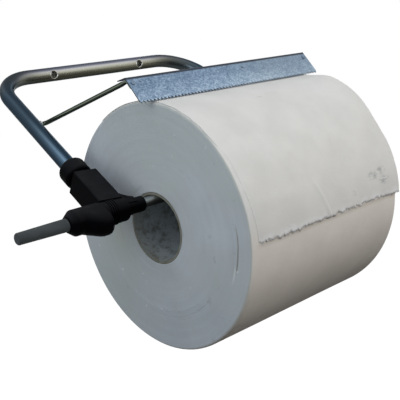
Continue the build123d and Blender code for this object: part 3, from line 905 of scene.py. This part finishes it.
class HOLDER_OT_paper_tail(bpy.types.Operator):
    """Lays the outermost sheet over the roll, down to its torn edge"""

    bl_idname = "holder.paper_tail"
    bl_label = "Lay the outermost sheet"

    def execute(self, context):
        finish = Tissue("outer_tissue", tuple(settings("finish").tissue), marked=True).material
        rows, columns = 111, 421
        outer, inner, edge = self.sheet_points(rows, columns)
        total = rows * columns
        faces = []
        for a, d, c, b in grid_faces(rows, columns, False):
            faces.append((a, d, c, b))
            faces.append((total + a, total + b, total + c, total + d))
        last = total - columns
        rim = [*range(columns - 1), *range(columns - 1, total - 1, columns),
               *range(total - 1, last, -1), *range(last, 0, -columns)]
        for a, b in zip(rim, rim[1:] + rim[:1]):
            faces.append((a, b, total + b, total + a))
        tail = add_mesh("outer_sheet", outer + inner, faces, finish)
        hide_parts("paper_tail")
        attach(tail, "roll")
        fibres = self.torn_fibres(edge, finish)
        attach(fibres, "roll")
        return {"FINISHED"}

    def sheet_points(self, rows, columns):
        """The points of the sheet's outer and inner sides, and of its torn edge."""
        sizes = settings("tail")
        outer, inner, edge = [], [], []
        for row in range(rows):
            share = row / (rows - 1)
            for column in range(columns):
                across = column / (columns - 1)
                x = sizes.near_end + (sizes.far_end - sizes.near_end) * across
                torn = self.torn_angle(x)
                angle = -sizes.back_angle + (torn + sizes.back_angle) * share
                x += self.side_wander(angle, across)
                start = (ROLL_RADIUS - roll_slack(min(x, ROLL_HALF), angle) + 0.05 * MM
                         + self.lift(x, angle, torn) * soft_step(-0.02, 0.10, across))
                fade = soft_step(0.0, 0.12, share) * soft_step(-0.004, 0.03, across)
                fade *= 1 - 0.6 * soft_step(0.97, 1.0, share)
                outer.append(on_roll(x, start + sizes.thickness * max(0.15, fade), angle))
                inner.append(on_roll(x, start, angle))
                if share == 1:
                    edge.append(on_roll(x, start + 0.5 * sizes.thickness, angle))
        return outer, inner, edge

    @staticmethod
    def torn_angle(x):
        """The torn edge's angle: a slow wave with serrations of uneven depth on it."""
        sizes = settings("tail")
        wave = 1.6 * MM * noise_at(x * 22.0, 3.0, 1.0)
        ragged = (2.8 * MM * noise_at(x * 130.0, 7.0, 2.0)
                  + 1.6 * MM * noise_at(x * 380.0, 1.0, 8.0))
        tooth = abs(2 * ((x / TOOTH_PITCH) % 1.0) - 1)
        depth = sizes.tooth_depth * (0.35 + 0.65 * abs(noise_at(x * 90.0, 5.0, 0.0)))
        return sizes.tear_angle + (wave + ragged + depth * (tooth - 0.5)) / ROLL_RADIUS

    @staticmethod
    def side_wander(angle, across):
        """How far the sheet's two sides stray along the roll."""
        near = 1.0 - soft_step(0.0, 0.2, across)
        far = soft_step(0.85, 1.0, across)
        lean = (4.0 * MM * soft_step(radians(42), radians(56), angle)
                + 4.6 * MM * soft_step(radians(60), radians(90), angle))
        behind = soft_step(radians(52), radians(68), angle) - 1.0
        waves = (near + far) * 0.5 * MM * noise_at(angle * 14.0, across, 6.0)
        return near * lean + far * 3.0 * MM * behind + waves

    @staticmethod
    def lift(x, angle, torn):
        """How far the sheet stands off the layer below: nothing under the tear bar."""
        free = soft_step(radians(45), radians(80), angle)
        edge = soft_step(torn - radians(4), torn, angle)
        waves = 0.5 + 0.8 * noise_at(x * 60.0, angle * 3.0, 4.0)
        small = 0.5 + 0.5 * noise_at(x * 90.0, angle * 9.0, 9.0)
        loose = settings("tail").lift * (0.15 * free * small + edge * max(0.05, waves))
        # One crease runs down to the torn edge, on the grip's side of the middle.
        share = soft_step(radians(70), radians(75), angle)
        line = -20 * MM + 17 * MM * (angle - radians(72)) / radians(16)
        crease = share * max(0.0, 1 - abs(x - line) / (3.5 * MM)) * 0.7 * MM
        step = share * 0.5 * MM * soft_step(line + 20 * MM, line, x)
        # The corner at the plain end hangs a little away from the roll.
        corner = soft_step(85 * MM, 122 * MM, x) * soft_step(radians(48), radians(88), angle)
        return loose + crease + step + 1.5 * MM * corner

    @staticmethod
    def torn_fibres(edge, finish):
        """Loose fibres along the torn edge."""
        sizes = settings("tail")
        line = add_lines("torn_fibres", edge,
                         [(place, place + 1) for place in range(len(edge) - 1)])
        fibres = GeometryNodes("fibres_on_a_line", {
            "Count": sizes.fibre_count, "Length": sizes.fibre_length, "Seed": sizes.seed})
        given = fibres.given
        curve = fibres.out("GeometryNodeMeshToCurve", {0: given["Geometry"]})
        points = fibres.out("GeometryNodeResampleCurve", {"Curve": curve, "Count": given["Count"]})
        cone = fibres.out("GeometryNodeMeshCone", {
            "Vertices": 3, "Radius Bottom": 0.17 * MM, "Radius Top": 0.05 * MM,
            "Depth": given["Length"]})
        spin = fibres.out("FunctionNodeRandomValue", {
            0: (pi - 1.1, -0.9, 0.0), 1: (pi + 0.5, 0.9, 2 * pi), "Seed": given["Seed"]},
            data_type="FLOAT_VECTOR")
        size = fibres.put("FunctionNodeRandomValue", {2: 0.25, 3: 1.0, "Seed": given["Seed"]})
        spread = fibres.out("GeometryNodeInstanceOnPoints", {
            "Points": points, "Instance": cone, "Rotation": spin, "Scale": size.outputs[1]})
        return fibres.bake(line, spread, finish)


# ---- stage
class HOLDER_OT_stage(bpy.types.Operator):
    """Sets the floor, the soft lamps, the surrounding light and the camera"""

    bl_idname = "holder.stage"
    bl_label = "Set the stage"

    # Each lamp's place and width in metres, its tint, and whether polished steel shows it.
    lamps = {
        "key": ((0.7, -2.0, 0.9), 1.3, (1.0, 0.97, 0.92), False),
        "side": ((-1.45, -0.45, 0.55), 0.9, (0.90, 0.96, 1.0), True),
        "back": ((1.6, 0.9, 0.5), 1.2, (1.0, 0.98, 0.95), True),
    }

    def execute(self, context):
        scene = context.scene
        sizes = settings("stage")
        scene.view_settings.view_transform = "Standard"
        self.add_floor(sizes)
        self.add_world(scene, sizes)
        for name, (place, width, tint, shows) in self.lamps.items():
            lamp = self.add_lamp(name + "_lamp", place, getattr(sizes, name + "_power"), width,
                                 tint)
            lamp.visible_glossy = shows
        self.add_camera(scene)
        return {"FINISHED"}

    @staticmethod
    def add_floor(sizes):
        reach, drop = 6.0, -sizes.floor_drop
        floor = add_mesh("floor", [(-reach, -reach, drop), (reach, -reach, drop),
                                   (reach, reach, drop), (-reach, reach, drop)], [(0, 1, 2, 3)])
        material = bpy.data.materials.new("pale_floor")
        material.use_nodes = True
        material.node_tree.nodes.clear()
        # The floor shows white and takes a faint shadow, and sends up little, warm light.
        pale = Nodes(material.node_tree)
        seen = pale.seen()
        matt = pale.out("ShaderNodeBsdfDiffuse", {
            "Color": pale.mix(seen, (0.03, 0.024, 0.016), (0.10, 0.10, 0.10))})
        bright = pale.out("ShaderNodeEmission", {
            "Color": WHITE, "Strength": pale.times(seen, 0.955)})
        both = pale.out("ShaderNodeAddShader", {0: matt, 1: bright})
        pale.put("ShaderNodeOutputMaterial", {"Surface": both})
        floor.data.materials.append(material)

    @staticmethod
    def add_world(scene, sizes):
        """Soft sky light, cooler on the grip's side and stronger behind, with white seen."""
        world = bpy.data.worlds.new("soft_studio")
        scene.world = world
        world.use_nodes = True
        world.node_tree.nodes.clear()
        light = Nodes(world.node_tree)
        ways = light.split(light.put("ShaderNodeTexCoord").outputs["Generated"])
        level = light.between(ways[2], 0.0, 0.85)
        tint = light.mix(light.between(ways[0], -0.8, 0.8), (0.90, 0.97, 1.06), (1.06, 1.01, 0.95))
        behind = light.between(ways[1], 0.0, 0.9, 1.0, 1.7)
        low = light.dimmed(tuple(sizes.horizon), behind)
        tinted = light.mix(1.0, light.mix(level, low, sizes.zenith), tint, "MULTIPLY")
        sky = light.out("ShaderNodeBackground", {"Color": tinted})
        white = light.out("ShaderNodeBackground", {"Color": WHITE})
        blend = light.out("ShaderNodeMixShader", {0: light.seen(), 1: sky, 2: white})
        light.put("ShaderNodeOutputWorld", {"Surface": blend})

    @staticmethod
    def add_lamp(name, place, watts, width, tint):
        """A square lamp that faces the roll."""
        light = bpy.data.lights.new(name, "AREA")
        light.energy = watts
        light.size = width
        light.color = tint
        lamp = link_object(name, light)
        lamp.location = place
        target = Vector((0.0, AXIS_Y, AXIS_Z))
        lamp.rotation_euler = (target - Vector(place)).to_track_quat("-Z", "Y").to_euler()
        return lamp

    @staticmethod
    def add_camera(scene):
        lens = bpy.data.cameras.new("camera")
        lens.lens = 69.78
        lens.sensor_width = 36.0
        camera = link_object("camera", lens)
        camera.location = (-0.6083, -0.8249, 0.0476)
        camera.rotation_euler = Euler((radians(77.027), radians(4.925), radians(-44.573)))
        scene.camera = camera


# ---- add-on
class HOLDER_PT_pieces(bpy.types.Panel):
    """Lists the holder's pieces in the sidebar"""

    bl_label = "Paper towel holder"
    bl_idname = "HOLDER_PT_pieces"
    bl_space_type = "VIEW_3D"
    bl_region_type = "UI"
    bl_category = "Holder"

    def draw(self, context):
        for step in STEPS:
            self.layout.operator(step.bl_idname)
        for name in SETTINGS:
            group = settings(name)
            for item in group.bl_rna.properties:
                if item.identifier not in ("rna_type", "name"):
                    self.layout.prop(group, item.identifier)


STEPS = (
    HOLDER_OT_stage,
    HOLDER_OT_tube,
    HOLDER_OT_joints,
    HOLDER_OT_tear_bar,
    HOLDER_OT_spindle,
    HOLDER_OT_core,
    HOLDER_OT_wound_paper,
    HOLDER_OT_paper_tail,
)
SETTINGS = {
    "roll": RollSettings,
    "tail": TailSettings,
    "finish": FinishSettings,
    "stage": StageSettings,
}


def register():
    for kind in (*SETTINGS.values(), *STEPS, HOLDER_PT_pieces):
        bpy.utils.register_class(kind)
    for name, kind in SETTINGS.items():
        setattr(bpy.types.Scene, "holder_" + name, bpy.props.PointerProperty(type=kind))


def unregister():
    for name in SETTINGS:
        delattr(bpy.types.Scene, "holder_" + name)
    for kind in reversed((*SETTINGS.values(), *STEPS, HOLDER_PT_pieces)):
        bpy.utils.unregister_class(kind)


def main():
    register()
    for step in STEPS:
        group, action = step.bl_idname.split(".")
        getattr(getattr(bpy.ops, group), action)()


if __name__ == "__main__":
    main()
